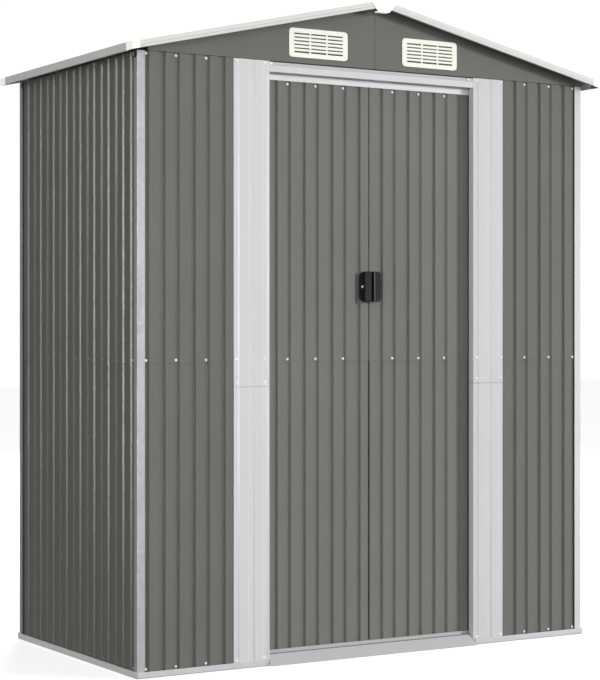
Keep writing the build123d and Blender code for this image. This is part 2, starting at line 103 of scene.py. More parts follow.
def finish(name, base, rough, metal=0.0, spec=0.5, var=0.05, streak=0.05, grain=0.03,
           grain_scale=420.0, bump=0.06, bump_scale=260.0, spangle=0.0, dust=0.06,
           dust_colour=(0.42, 0.40, 0.36), coat=0.0, rough_var=0.07, glow=0.0):
    """A coated or bare sheet-metal or moulded finish: slow colour drift, vertical runs,
    fine grain, a dusty foot, uneven gloss and a faint orange-peel relief."""
    m = bpy.data.materials.new(name)
    m.use_nodes = True
    nt = m.node_tree
    lk = nt.links
    bsdf = next(n for n in nt.nodes if n.type == "BSDF_PRINCIPLED")
    bsdf.inputs["Metallic"].default_value = metal
    bsdf.inputs["Specular IOR Level"].default_value = spec
    bsdf.inputs["Coat Weight"].default_value = coat
    bsdf.inputs["Coat Roughness"].default_value = 0.25
    if glow > 0:      # painted light: the part glows though it is no lamp
        bsdf.inputs["Emission Color"].default_value = (1.0, 0.985, 0.86, 1.0)
        bsdf.inputs["Emission Strength"].default_value = glow
    tc = nt.nodes.new("ShaderNodeTexCoord")
    obj = tc.outputs["Object"]

    big = node(nt, "ShaderNodeTexNoise", Scale=1.9, Detail=3.0, Roughness=0.55)
    lk.new(obj, big.inputs["Vector"])
    big_f = map_range(nt, big.outputs[0], 0.32, 0.68, 0.0, 1.0)
    col = mix_rgb(nt, big_f, scale_rgb(base, 1.0 - var), scale_rgb(base, 1.0 + var))

    mp = nt.nodes.new("ShaderNodeMapping")
    mp.inputs["Scale"].default_value = (46.0, 46.0, 1.1)
    lk.new(obj, mp.inputs["Vector"])
    run = node(nt, "ShaderNodeTexNoise", Scale=1.0, Detail=4.0, Roughness=0.6)
    lk.new(mp.outputs[0], run.inputs["Vector"])
    run_f = map_range(nt, run.outputs[0], 0.40, 0.75, 0.0, streak)
    col = mix_rgb(nt, run_f, col, scale_rgb(base, 1.35))
    run_d = map_range(nt, run.outputs[0], 0.60, 0.25, 0.0, streak * 0.8)
    col = mix_rgb(nt, run_d, col, scale_rgb(base, 0.65))

    fine = node(nt, "ShaderNodeTexNoise", Scale=grain_scale, Detail=2.0, Roughness=0.6)
    lk.new(obj, fine.inputs["Vector"])
    fine_f = map_range(nt, fine.outputs[0], 0.35, 0.65, 0.0, 1.0)
    grain_c = mix_rgb(nt, fine_f, scale_rgb(base, 1.0 - 4 * grain), scale_rgb(base, 1.0 + 4 * grain))
    col = mix_rgb(nt, 0.25, col, grain_c)

    rough_src = big.outputs[0]
    if spangle > 0:
        vor = node(nt, "ShaderNodeTexVoronoi", Scale=95.0, Randomness=1.0)
        lk.new(obj, vor.inputs["Vector"])
        sep = nt.nodes.new("ShaderNodeSeparateColor")
        lk.new(vor.outputs["Color"], sep.inputs[0])
        sp_f = map_range(nt, sep.outputs[0], 0.0, 1.0, 0.0, 1.0)
        sp_c = mix_rgb(nt, sp_f, scale_rgb(base, 1.0 - spangle), scale_rgb(base, 1.0 + spangle))
        col = mix_rgb(nt, 0.5, col, sp_c)
        rough_src = sep.outputs[1]

    # a little dust gathers near the ground
    sepz = nt.nodes.new("ShaderNodeSeparateXYZ")
    lk.new(obj, sepz.inputs[0])
    low = map_range(nt, sepz.outputs[2], 0.0, 0.22, 1.0, 0.0)
    blot = node(nt, "ShaderNodeTexNoise", Scale=34.0, Detail=5.0, Roughness=0.65)
    lk.new(obj, blot.inputs["Vector"])
    mul = nt.nodes.new("ShaderNodeMath")
    mul.operation = "MULTIPLY"
    lk.new(low, mul.inputs[0])
    lk.new(map_range(nt, blot.outputs[0], 0.42, 0.72, 0.0, dust), mul.inputs[1])
    col = mix_rgb(nt, mul.outputs[0], col, dust_colour)
    lk.new(col, bsdf.inputs["Base Color"])

    lk.new(map_range(nt, rough_src, 0.25, 0.75, rough - rough_var, rough + rough_var),
           bsdf.inputs["Roughness"])

    peel = node(nt, "ShaderNodeTexNoise", Scale=bump_scale, Detail=2.0, Roughness=0.5)
    lk.new(obj, peel.inputs["Vector"])
    bn = nt.nodes.new("ShaderNodeBump")
    bn.inputs["Strength"].default_value = bump
    bn.inputs["Distance"].default_value = 0.0006
    lk.new(peel.outputs[0], bn.inputs["Height"])
    lk.new(bn.outputs[0], bsdf.inputs["Normal"])
    return m


MAT = {
    "sheet_grey": finish("coated_sheet_grey", (0.174, 0.176, 0.161), 0.35, spec=0.32, bump=0.015,
                         rough_var=0.02),
    "sheet_grey_front": finish("coated_sheet_grey_front", (0.181, 0.183, 0.168), 0.42, spec=0.12, rough_var=0.04),
    "sheet_grey_leaf": finish("coated_sheet_grey_leaf", (0.2045, 0.207, 0.190), 0.42, spec=0.12, rough_var=0.04),
    # painted shade: a darker copy of the rail white for the bottom rails
    "rail_low_painted_shade": finish("coated_rail_low_painted_shade", (0.55, 0.552, 0.56), 0.40, spec=0.3, var=0.012, streak=0.02,
                       grain=0.008, dust=0.10),
    # painted shade: a darker copy of the white steel for the right jamb
    "white_steel_right_painted_shade": finish("coated_steel_white_right_painted_shade", (0.685, 0.687, 0.70), 0.40, spec=0.25, var=0.012,
                                streak=0.02, grain=0.008, dust=0.10),
    # painted light: the roof's underside is lighter, as if lit from below
    "roof_under_painted_light": finish("coated_roof_under_painted_light", (0.42, 0.42, 0.41), 0.6, spec=0.2, var=0.04, dust=0.0),
    # painted shade: the caps' inner faces are dark
    "cap_shade": finish("cream_cap_inside_painted_shade", (0.16, 0.16, 0.155), 0.6, spec=0.1, var=0.02, streak=0.0, dust=0.0),
    # painted light: a lighter grey on the leaves' meeting folds
    "sheet_edge_painted_light": finish("coated_sheet_edge_painted_light", (0.38, 0.38, 0.36), 0.5, spec=0.1, var=0.03, dust=0.0),
    # painted light: a glowing copy of the cream plastic for the roof caps
    "cap_cream_painted_glow": finish("cream_cap_painted_glow", (0.90, 0.895, 0.83), 0.36, spec=0.3, glow=0.46, var=0.012, streak=0.0,
                        grain=0.006, bump=0.05, bump_scale=900.0, dust=0.0),
    # painted light: a lighter copy of the zinc for the front-right post
    "zinc_painted_light": finish("zinc_steel_painted_light", (0.71, 0.715, 0.725), 0.44, metal=0.22, spec=0.5, var=0.02,
                          streak=0.03, grain=0.012, spangle=0.03, dust=0.10),
    # painted reflection: a lighter copy of the base zinc for the side rails
    "base_side_painted_reflection": finish("zinc_base_side_painted_reflection", (0.90, 0.905, 0.91), 0.42, spec=0.35, var=0.02, streak=0.03,
                        grain=0.012, dust=0.08),
    "header_shade": finish("coated_header_painted_shade", (0.575, 0.58, 0.592), 0.40, spec=0.25, var=0.012, streak=0.02,
                           grain=0.008, dust=0.0),
    "trim_shade": finish("coated_trim_lower_painted_shade", (0.785, 0.776, 0.752), 0.42, spec=0.25, var=0.015, streak=0.03,
                         grain=0.010, dust=0.0),
    # painted shade: a dark line along the trim's fold
    "trim_line": finish("coated_trim_fold_painted_shade", (0.60, 0.592, 0.572), 0.45, spec=0.2, var=0.015, streak=0.03,
                        grain=0.010, dust=0.0),
    # painted shade: a dark line along the sill's crest
    "sill_line_painted_shade": finish("coated_sill_fold_painted_shade", (0.17, 0.173, 0.176), 0.45, spec=0.2, var=0.015, streak=0.02,
                        grain=0.010, dust=0.0),
    # painted light: a lighter copy of the trim white for the eave trims
    "eave_white_painted_light": finish("coated_eave_white_painted_light", (0.90, 0.89, 0.86), 0.42, spec=0.25, var=0.015, streak=0.03,
                         grain=0.010, dust=0.0),
    "vent_shade": finish("vent_blade_painted_shade", (0.36, 0.355, 0.29), 0.5, spec=0.2, var=0.02, streak=0.0, dust=0.0),
    "roof_grey": finish("coated_roof_grey", (0.188, 0.190, 0.178), 0.50, spec=0.42, var=0.07),
    # painted light: a lighter copy of the white steel, cancelling the header's shadow on the top rails
    "rail_white_painted_light": finish("coated_rail_white_painted_light", (0.88, 0.882, 0.893), 0.40, spec=0.3, var=0.012,
                         streak=0.02, grain=0.008, dust=0.10),
    "trim_white": finish("coated_trim_white", (0.81, 0.80, 0.775), 0.42, spec=0.25, var=0.015,
                         streak=0.03, grain=0.010, dust=0.0),
    "sill_white": finish("coated_sill_grey", (0.535, 0.545, 0.563), 0.40, spec=0.3, var=0.015,
                         streak=0.02, grain=0.010, dust=0.12),
    "base_zinc": finish("zinc_base", (0.71, 0.715, 0.73), 0.40, metal=0.15, spec=0.4, var=0.02,
                        streak=0.03, grain=0.012, spangle=0.03, dust=0.10),
    # painted shade: the post folds behind the sheets are near black
    "flange_painted_shade": finish("zinc_flange_painted_shade", (0.075, 0.076, 0.075), 0.55, spec=0.2, var=0.06,
                          streak=0.03, dust=0.0),
    "white_steel": finish("coated_steel_white", (0.735, 0.737, 0.752), 0.40, spec=0.25, var=0.012,
                          streak=0.02, grain=0.008, dust=0.10),
    "galvanised_steel": finish("zinc_steel", (0.50, 0.505, 0.522), 0.44, metal=0.32, spec=0.5, var=0.02,
                               streak=0.03, grain=0.012, spangle=0.035, dust=0.10),
    "frame_steel": finish("zinc_frame", (0.50, 0.505, 0.515), 0.48, metal=0.35, spec=0.5, var=0.04,
                          spangle=0.06, streak=0.03),
    # painted light: the vent plastic glows a little
    "cream_plastic": finish("cream_plastic", (0.88, 0.875, 0.81), 0.36, spec=0.3, glow=0.17, var=0.012, streak=0.0,
                            grain=0.006, bump=0.05, bump_scale=900.0, dust=0.0),
    "black_plastic": finish("black_plastic", (0.018, 0.018, 0.019), 0.42, spec=0.3, var=0.10, streak=0.0,
                            grain=0.05, bump=0.10, bump_scale=1400.0, dust=0.0),
    # painted shade: a darker copy of the bolt finish for the side walls
    "bolt_painted_shade": finish("bolt_zinc_painted_shade", (0.60, 0.60, 0.59), 0.45, metal=0.2, spec=0.4, var=0.03, streak=0.0,
                        grain=0.02, dust=0.0),
    "bolt": finish("bolt_zinc", (0.95, 0.95, 0.94), 0.35, metal=0.0, spec=0.5, var=0.03, streak=0.0,
                   grain=0.02, dust=0.0),
    # painted shade: the dark ring round each bolt head
    "washer": finish("washer_painted_shade", (0.055, 0.056, 0.055), 0.62, spec=0.3, var=0.08, streak=0.0,
                     grain=0.03, dust=0.0),
}


# ------------------------------------------------------------------ mesh helpers
def emit(name, parts, mat, body, cad=(), bevel=0.0, seg=2, angle=32.0, mats=None,
         under=False):
    """One object from (verts, faces[, material index]) parts, in millimetres."""
    verts, faces, idx = [], [], []
    for part in parts:
        v, f = part[0], part[1]
        k = part[2] if len(part) > 2 else 0
        off = len(verts)
        verts += [(p[0] * MM, p[1] * MM, p[2] * MM) for p in v]
        faces += [tuple(i + off for i in q) for q in f]
        if callable(k):      # the finish of each face is chosen by where its centre lies
            idx += [k(*(sum(v[i][a] for i in q) / len(q) for a in range(3))) for q in f]
        else:
            idx += [k] * len(f)
    me = bpy.data.meshes.new(name)
    me.from_pydata(verts, [], faces)
    for mm in (mats or [mat]):
        me.materials.append(MAT[mm])
    me.polygons.foreach_set("material_index", idx)
    me.update()
    bm = bmesh.new()
    bm.from_mesh(me)
    bmesh.ops.recalc_face_normals(bm, faces=bm.faces)
    if under:            # faces looking down take the second finish; on the roof that is painted light, a lighter underside
        for f in bm.faces:
            f.normal_update()
            if f.normal.z < -0.3:
                f.material_index = 1
    if bevel > 0:
        edges = [e for e in bm.edges if len(e.link_faces) == 2
                 and e.calc_face_angle(0.0) > math.radians(angle)]
        bmesh.ops.bevel(bm, geom=edges, offset=bevel * MM, offset_type="OFFSET", segments=seg,
                        profile=0.5, affect="EDGES", clamp_overlap=True)
    bm.to_mesh(me)
    bm.free()
    for p in me.polygons:
        p.use_smooth = True
    me.set_sharp_from_angle(angle=math.radians(38.0))
    ob = bpy.data.objects.new(name, me)
    scene.collection.objects.link(ob)
    wn = ob.modifiers.new("weighted", "WEIGHTED_NORMAL")
    wn.keep_sharp = True
    wn.mode = "FACE_AREA"
    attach(ob, body)
    if cad:
        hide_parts(*([cad] if isinstance(cad, str) else cad))
    return ob


def mir(part, sx=1, sy=1):
    return ([(p[0] * sx, p[1] * sy, p[2]) for p in part[0]], part[1], *part[2:])


def to_back(part, sx=1):
    """The same part on the back wall, which stands nearer the roof's middle."""
    return ([(p[0] * sx, -p[1] - BACK_IN, p[2]) for p in part[0]], part[1], *part[2:])


def cells(n, m, pos, exists=None):
    """A bent sheet: n columns along the section, m rows along the run, pos(i, j, side)."""
    verts, faces, ids = [], [], {}

    def v(i, j, k):
        key = (i, j, k)
        if key not in ids:
            ids[key] = len(verts)
            verts.append(pos(i, j, k))
        return ids[key]

    def ex(i, j):
        return 0 <= i < n - 1 and 0 <= j < m - 1 and (exists is None or exists(i, j))

    for i in range(n - 1):
        for j in range(m - 1):
            if not ex(i, j):
                continue
            faces.append((v(i, j, 0), v(i + 1, j, 0), v(i + 1, j + 1, 0), v(i, j + 1, 0)))
            faces.append((v(i, j, 1), v(i, j + 1, 1), v(i + 1, j + 1, 1), v(i + 1, j, 1)))
            if not ex(i - 1, j):
                faces.append((v(i, j, 0), v(i, j + 1, 0), v(i, j + 1, 1), v(i, j, 1)))
            if not ex(i + 1, j):
                faces.append((v(i + 1, j, 0), v(i + 1, j, 1), v(i + 1, j + 1, 1), v(i + 1, j + 1, 0)))
            if not ex(i, j - 1):
                faces.append((v(i, j, 0), v(i, j, 1), v(i + 1, j, 1), v(i + 1, j, 0)))
            if not ex(i, j + 1):
                faces.append((v(i, j + 1, 0), v(i + 1, j + 1, 0), v(i + 1, j + 1, 1), v(i, j + 1, 1)))
    return verts, faces


def rounded(pts, r_out, r_in=None, seg=3):
    """The line with each bend turned into an arc; r may be a list, one per point."""
    out = [pts[0]]
    for i in range(1, len(pts) - 1):
        a, b, c = pts[i - 1], pts[i], pts[i + 1]
        v1 = (b[0] - a[0], b[1] - a[1])
        v2 = (c[0] - b[0], c[1] - b[1])
        l1, l2 = math.hypot(*v1), math.hypot(*v2)
        cr = v1[0] * v2[1] - v1[1] * v2[0]
        ang = math.atan2(abs(cr), v1[0] * v2[0] + v1[1] * v2[1])
        if isinstance(r_out, (list, tuple)):
            r = r_out[i]
        else:
            r = r_out if cr < 0 or r_in is None else r_in
        if ang < 0.03 or r <= 0:
            out.append(b)
            continue
        k = math.tan(ang / 2)
        t = min(r * k, 0.47 * l1, 0.47 * l2)
        re = t / k
        sg = 1 if cr > 0 else -1
        p0 = (b[0] - v1[0] / l1 * t, b[1] - v1[1] / l1 * t)
        cx, cy = p0[0] - v1[1] / l1 * sg * re, p0[1] + v1[0] / l1 * sg * re
        dx, dy = p0[0] - cx, p0[1] - cy
        for q in range(seg + 1):
            w = sg * ang * q / seg
            out.append((cx + dx * math.cos(w) - dy * math.sin(w), cy + dx * math.sin(w) + dy * math.cos(w)))
    out.append(pts[-1])
    return out


def offset(pts, t):
    """The line moved by t to its right-hand side, mitred."""
    out = []
    n = len(pts)
    for i in range(n):
        norms = []
        for a, b in ((i - 1, i), (i, i + 1)):
            if 0 <= a and b < n:
                dx, dy = pts[b][0] - pts[a][0], pts[b][1] - pts[a][1]
                l = math.hypot(dx, dy) or 1.0
                norms.append((dy / l, -dx / l))
        nx, ny = sum(q[0] for q in norms), sum(q[1] for q in norms)
        l = math.hypot(nx, ny)
        nx, ny = nx / l, ny / l
        c = nx * norms[0][0] + ny * norms[0][1]
        out.append((pts[i][0] + nx * t / c, pts[i][1] + ny * t / c))
    return out


PLACE = {
    "z": lambda p, q, w: (p, q, w),
    "x": lambda p, q, w: (w, p, q),
    "y": lambda p, q, w: (p, w, q),
}


def strip(pts, t, axis, rows, r=1.6, seg=3, exists=None, line=None):
    """A folded sheet section along one axis. exists((p, q), lo, hi) may cut notches."""
    line = line or rounded(pts, r, None, seg)
    inner = offset(line, t)
    pl = PLACE[axis]
    ex = None
    if exists:
        ex = lambda i, j: exists(((line[i][0] + line[i + 1][0]) / 2, (line[i][1] + line[i + 1][1]) / 2),
                                 rows[j], rows[j + 1])
    return cells(len(line), len(rows),
                 lambda i, j, k: pl(*(line[i] if k == 0 else inner[i]), rows[j]), ex)


def prism(ring, axis, a0, a1):
    pl = PLACE[axis]
    n = len(ring)
    verts = [pl(p[0], p[1], a0) for p in ring] + [pl(p[0], p[1], a1) for p in ring]
    tris = tessellate_polygon([[Vector((p[0], p[1], 0)) for p in ring]])
    faces = [tuple(t) for t in tris] + [tuple(n + i for i in reversed(t)) for t in tris]
    faces += [(i, (i + 1) % n, n + (i + 1) % n, n + i) for i in range(n)]
    return verts, faces


def slab(x0, x1, y0, y1, z0, z1):
    return prism([(x0, y0), (x1, y0), (x1, y1), (x0, y1)], "z", z0, z1)


def rings(rs, caps=True, closed=False):
    """Loft through rings of equal length."""
    n = len(rs[0])
    verts = [p for r in rs for p in r]
    faces = []
    for a in range(len(rs) - 1):
        for i in range(n):
            j = (i + 1) % n
            faces.append((a * n + i, a * n + j, (a + 1) * n + j, (a + 1) * n + i))
    if caps:
        faces.append(tuple(range(n)))
        faces.append(tuple(reversed(range((len(rs) - 1) * n, len(rs) * n))))
    return verts, faces


def lathe(centre, axis, prof, seg=16):
    """prof is (distance along axis, radius) pairs, ending at radius 0 at one or both ends."""
    ax = Vector(axis).normalized()
    up = Vector((0, 0, 1)) if abs(ax.z) < 0.9 else Vector((1, 0, 0))
    u = ax.cross(up).normalized()
    w = ax.cross(u).normalized()
    c = Vector(centre)
    verts, faces, prev = [], [], None
    for h, r in prof:
        if r <= 1e-9:
            cur = [len(verts)]
            verts.append(tuple(c + ax * h))
        else:
            cur = list(range(len(verts), len(verts) + seg))
            for k in range(seg):
                a = 2 * math.pi * k / seg
                verts.append(tuple(c + ax * h + u * (r * math.cos(a)) + w * (r * math.sin(a))))
        if prev is not None:
            for k in range(seg):
                k2 = (k + 1) % seg
                if len(prev) == 1 and len(cur) > 1:
                    faces.append((prev[0], cur[k], cur[k2]))
                elif len(cur) == 1 and len(prev) > 1:
                    faces.append((prev[k], cur[0], prev[k2]))
                elif len(cur) > 1:
                    faces.append((prev[k], cur[k], cur[k2], prev[k2]))
        elif len(cur) > 1:
            faces.append(tuple(reversed(cur)))
        prev = cur
    if len(prev) > 1:
        faces.append(tuple(prev))
    return verts, faces


# ------------------------------------------------------------------ ribbed sheets
STEPS = [(-12.0, 1), (-8.0, 0), (4.0, 0), (10.0, 1), (44.0, 1), (48.0, 0), (64.0, 0), (67.5, 1)]


def profile(u0, u1, bolt, height, low=0.0, start=None):
    k0 = int(math.floor((u0 - bolt) / PITCH)) - 1
    k1 = int(math.ceil((u1 - bolt) / PITCH)) + 1
    raw = [(bolt + k * PITCH + s, height if v else low) for k in range(k0, k1 + 1) for s, v in STEPS]
    first = u0 + 3.0 if start is None else start
    keep = [i for i, (u, v) in enumerate(raw) if first < u < u1 - 3.0]

    def end_level(u_end, kept, beyond):
        (uk, vk), (ub, vb) = raw[kept], raw[beyond]
        if vk == vb or u0 <= ub <= u1:
            return vb
        return vk + (vb - vk) * (u_end - uk) / (ub - uk)

    lead = end_level(u0, keep[0], keep[0] - 1) if start is None else raw[keep[0]][1]
    if start is not None:
        raw[keep[0]] = (raw[keep[0]][0] + 2.2, raw[keep[0]][1])
    return ([(u0, lead)] + [raw[i] for i in keep]
            + [(u1, end_level(u1, keep[-1], keep[-1] + 1))])


def ribbed(u0, u1, bolt, rows, place, shift=0.0, height=RIB_H, t=T, lead=(), tail=(), exists=None,
           flare=None, low=0.0, start=None, bend=(3.6, 2.0)):
    """Roll-formed sheet. lead and tail are extra (u, d) points that fold past its ends."""
    line = list(lead) + profile(u0, u1, bolt, height, low, start) + list(tail)
    line = rounded(line, *bend, 3)
    outer = offset(line, shift) if shift else line
    inner = offset(line, shift + t)
    ex = None
    if exists:
        ex = lambda i, j: exists((line[i][0] + line[i + 1][0]) / 2, (line[i][1] + line[i + 1][1]) / 2,
                                 rows[j], rows[j + 1])
    fl = flare or (lambda w: 0.0)

    def pos(i, j, k):
        p = outer[i] if k == 0 else inner[i]
        return place(p[0], p[1] + fl(rows[j]), rows[j])

    return cells(len(line), len(rows), pos, ex)


def front_place(y_ref):
    return lambda u, d, w: (u, y_ref - d, w)


def left_place(u, d, w):
    return (-BX - d, u, w)


def lap_flare(w):
    """The upper sheet's bottom edge stands a touch proud of the sheet it laps."""
    return {LAP_Z: 0.9, LAP_Z + 2.5: 0.75, LAP_Z + 7.0: 0.2}.get(w, 0.0)


UP_ROWS = [LAP_Z, LAP_Z + 2.5, LAP_Z + 7.0, LAP_Z + 12.0, WALL_TOP]
LO_ROWS = [SHEET_BOTTOM, LAP_TOP]
CRISP = (2.2, 1.4)
FP = front_place(-BY)
emit("front_wall_left_lower_skin", [ribbed(-X_IN, -WALL_IN, FRONT_BOLT, LO_ROWS, FP, 2 * LAP, bend=CRISP)],
     "sheet_grey_front", "shed", "front_wall_left_lower")
emit("front_wall_left_upper_skin", [ribbed(-X_IN, -WALL_IN, FRONT_BOLT, UP_ROWS, FP, LAP, flare=lap_flare, bend=CRISP)],
     "sheet_grey_front", "shed", "front_wall_left_upper")
emit("front_wall_right_lower_skin", [ribbed(WALL_IN, X_IN, RIGHT_BOLT, LO_ROWS, FP, 2 * LAP, bend=CRISP)],
     "sheet_grey_front", "shed", "front_wall_right_lower")
emit("front_wall_right_upper_skin", [ribbed(WALL_IN, X_IN, RIGHT_BOLT, UP_ROWS, FP, LAP, flare=lap_flare, bend=CRISP)],
     "sheet_grey_front", "shed", "front_wall_right_upper")
left_lo = ribbed(-Y_IN, Y_IN - BACK_IN, SIDE_BOLT, LO_ROWS, left_place, LAP, start=SIDE_BOLT - 5.0)
left_up = ribbed(-Y_IN, Y_IN - BACK_IN, SIDE_BOLT, UP_ROWS, left_place, 0.0, flare=lap_flare,
                 start=SIDE_BOLT - 5.0)
emit("left_wall_lower_skin", [left_lo], "sheet_grey", "shed", "left_wall_lower")
emit("left_wall_upper_skin", [left_up], "sheet_grey", "shed", "left_wall_upper")
emit("right_wall_lower_skin", [mir(left_lo, -1)], "sheet_grey", "shed", "right_wall_lower")
emit("right_wall_upper_skin", [mir(left_up, -1)], "sheet_grey", "shed", "right_wall_upper")
back_lo = to_back(ribbed(-X_IN, X_IN, FRONT_BOLT, LO_ROWS, FP, LAP))
back_up = to_back(ribbed(-X_IN, X_IN, FRONT_BOLT, UP_ROWS, FP, 0.0, flare=lap_flare))
emit("back_wall_lower_skin", [back_lo], "sheet_grey", "shed", "back_wall_lower")
emit("back_wall_upper_skin", [back_up], "sheet_grey", "shed", "back_wall_upper")


# ------------------------------------------------------------------ jambs
JAMB_LOW = 4.9        # the white strips' grooves are shallower than the grey sheets' ribs


def jamb_part(side, z0, z1, shift=0.0, flare=None):
    rows = sorted({z0, max(z0, 22.0), min(z1, 1965.0), z1})
    if flare:
        rows = sorted(set(rows) | {z0 + 2.5, z0 + 7.0, z0 + 12.0})

    def ex(u, d, lo, hi):
        return d > -5.0 or (lo >= 21.9 and hi <= 1965.1)
    if side < 0:
        return ribbed(-JAMB_OUT_L, -DOOR_HALF, FRONT_BOLT, rows, FP, shift,
                      tail=[(-DOOR_HALF, -5.5), (-DOOR_HALF, -20.0)], exists=ex, flare=flare, low=JAMB_LOW)
    return ribbed(DOOR_HALF, JAMB_OUT_R, RIGHT_BOLT, rows, FP, shift,
                  lead=[(DOOR_HALF, -20.0), (DOOR_HALF, -5.5)], exists=ex, flare=flare, low=JAMB_LOW)


JF = {JAMB_LAP_Z + 0.5: 0.8, JAMB_LAP_Z + 3.0: 0.65, JAMB_LAP_Z + 7.5: 0.2}
for side, tag in ((-1, "left"), (1, "right")):
    # the right jamb takes the white steel's painted-shade copy
    emit(f"door_jamb_{tag}_skin",
         [jamb_part(side, SHEET_BOTTOM, JAMB_LAP_Z - 0.5),
          jamb_part(side, JAMB_LAP_Z + 0.5, WALL_TOP - 0.5, flare=lambda w: 0.0)],
         "white_steel" if side < 0 else "white_steel_right_painted_shade", "shed", f"door_jamb_{tag}")

# ------------------------------------------------------------------ corner posts
px, py = -POST_X, -POST_Y
fy, fx = -BY + 4.0, -BX + 2.5
post_pts = [(px + POST_FLANGE, fy), (px + POST_LEG, fy), (px + POST_LEG, py), (px, py),
            (px, py + POST_SIDE), (fx, py + POST_SIDE), (fx, py + POST_FLANGE - 3.0)]
# the side leg stops short of the top; the folds behind the sheets are painted dark as shade
post_line = rounded(post_pts, [0, 1.4, 0.5, 0.6, 0.4, 1.4, 0], None, 4)


def post_face(p):
    return p[1] < py + 1.3 or p[0] < px + 1.3


post = strip(post_pts, 1.3, "z", [1.7, 1979.0, WALL_TOP], line=post_line,
             exists=lambda p, lo, hi: post_face(p) and (lo < 1978 or not (p[0] < px + 0.9 and p[1] > py + 4.0)))
folds = strip(post_pts, 1.3, "z", [1.7, 1979.0, WALL_TOP], line=post_line,
              exists=lambda p, lo, hi: not post_face(p))
for sx, tag in ((1, "left"), (-1, "right")):
    # the front-right post's face takes the zinc's painted-light copy
    face = "galvanised_steel" if sx > 0 else "zinc_painted_light"
    emit(f"corner_post_front_{tag}_skin", [(*mir(post, sx), 0), (*mir(folds, sx), 1)], face, "shed",
         f"corner_post_front_{tag}", mats=[face, "flange_painted_shade"])
    emit(f"corner_post_back_{tag}_skin", [(*to_back(post, sx), 0), (*to_back(folds, sx), 1)], "galvanised_steel",
         "shed", f"corner_post_back_{tag}", mats=["galvanised_steel", "flange_painted_shade"])


# ------------------------------------------------------------------ base rails
def base_front(x0, x1, face=BASE_Y):
    pts = [(-face, BASE_LIP), (-face, 0.0), (-BY + 7.5, 0.0), (-BY + 7.5, BASE_UP)]
    rows = sorted({x0, max(x0, -POST_X + 14.0), min(x1, POST_X - 14.0), x1})
    return strip(pts, -1.4, "x", rows, r=[0, 4.2, 1.8, 0],
                 exists=lambda p, lo, hi: p[0] < -BY + 4.0 or (lo >= -POST_X + 13.9 and hi <= POST_X - 13.9))


RAIL_END = DOOR_HALF + 5.5
XE = BASE_X - BASE_T - 0.3
emit("base_rail_front_skin", [base_front(-XE + 1.3, -RAIL_END), base_front(RAIL_END, XE - 1.3)],
     "base_zinc", "shed", "base_rail_front")
emit("base_rail_back_skin", [to_back(base_front(-XE, XE, BASE_BACK))], "base_zinc", "shed",
     "base_rail_back")
side_pts = [(-BASE_X, BASE_LIP), (-BASE_X, 0.0), (-BX + 6.5, 0.0), (-BX + 6.5, BASE_UP)]
side_rail = strip(side_pts, -1.4, "y", [-BASE_Y, -BY + 66.0, BY - BACK_IN - 8.0, BASE_BACK - BACK_IN],
                  r=[0, 1.8, 1.8, 0],
                  exists=lambda p, lo, hi: p[0] < -BASE_X + 1.4 or (lo > -BY + 65 and hi < BY - BACK_IN - 7))
# the side base rails take painted reflection
emit("base_rail_left_skin", [side_rail], "base_side_painted_reflection", "shed", "base_rail_left")
emit("base_rail_right_skin", [mir(side_rail, -1)], "base_side_painted_reflection", "shed",
     "base_rail_right")

# ------------------------------------------------------------------ tracks, threshold, header
ft = [(-467, 0), (-419, 0), (-419, 20), (-420.5, 20), (-420.5, 1.5), (-445, 1.5), (-445, 20), (-447, 20),
      (-447, 1.5), (-465.5, 1.5), (-465.5, 20), (-467, 20)]
emit("door_floor_track_skin", [prism(ft, "x", -884.0, 884.0)], "frame_steel", "shed",
     "door_floor_track", bevel=0.35)

y_cut = -BASE_Y - 0.8
ramp_z = 1.6 + (y_cut + 505.0) * (37.0 - 1.6) / (505.0 - 469.7)
ramp_pts = [(-505.0, 0.1), (-505.0, 1.6), (y_cut, ramp_z), (-472.2, 34.49), (-469.7, 37.0), (-467.5, 37.0), (-467.5, 0.1)]
ramp = strip(ramp_pts, 1.3, "x", [-421.0, -415.7, 415.7, 421.0], r=[0, 0.4, 0, 0, 1.0, 0.7, 0],
             exists=lambda p, lo, hi: p[0] < y_cut or (lo > -416 and hi < 416))
# painted shade on the sill's crest
emit("door_threshold_skin", [(*ramp, lambda x, y, z: int(z > 34.5 and y < -469.0))], "sill_white", "shed",
     "door_threshold", mats=["sill_white", "sill_line_painted_shade"])

hx = DOOR_HALF - 0.6
head_pts = [(-475.2, 1966.0), (-487.0, 1966.0), (-487.0, 1987.0), (-486.0, 1988.0), (-486.0, 1999.8),
            (-475.2, 1999.8)]
header = strip(head_pts, 1.3, "x", [-hx, hx], r=[0, 2.2, 0.5, 0.5, 2.0, 0])
# painted shade: the header's band above the fold is darker
emit("door_header_skin", [(*header, lambda x, y, z: int(z > 1987.2))], "white_steel", "shed",
     "door_header", mats=["white_steel", "header_shade"])
ht_pts = [(-475.0, 1966.0), (-475.0, 2002.0), (-419.0, 2002.0), (-419.0, 1966.0)]
emit("door_header_track_skin", [strip(ht_pts, 1.5, "x", [-888.8, 888.8], r=2.0)], "frame_steel", "shed",
     "door_header_track")

# ------------------------------------------------------------------ rails inside the walls
rails = []
for z0, z1, y0 in ((1962.0, 2002.0, -BY + 62.5), (995.0, 1030.0, -BY + 64.0)):
    x = -BX + 4.4
    s = strip([(x + 20, z0), (x, z0), (x, z1), (x + 20, z1)], 1.5, "y", [y0, BY - BACK_IN - 26.0], r=1.8)
    rails += [s, mir(s, -1)]
    y = BY - BACK_IN - 6.0
    rails.append(strip([(y - 20, z0), (y, z0), (y, z1), (y - 20, z1)], -1.5, "x", [-886.0, 886.0], r=1.8))
emit("wall_rails_skin", rails, "frame_steel", "shed", "wall_rails")

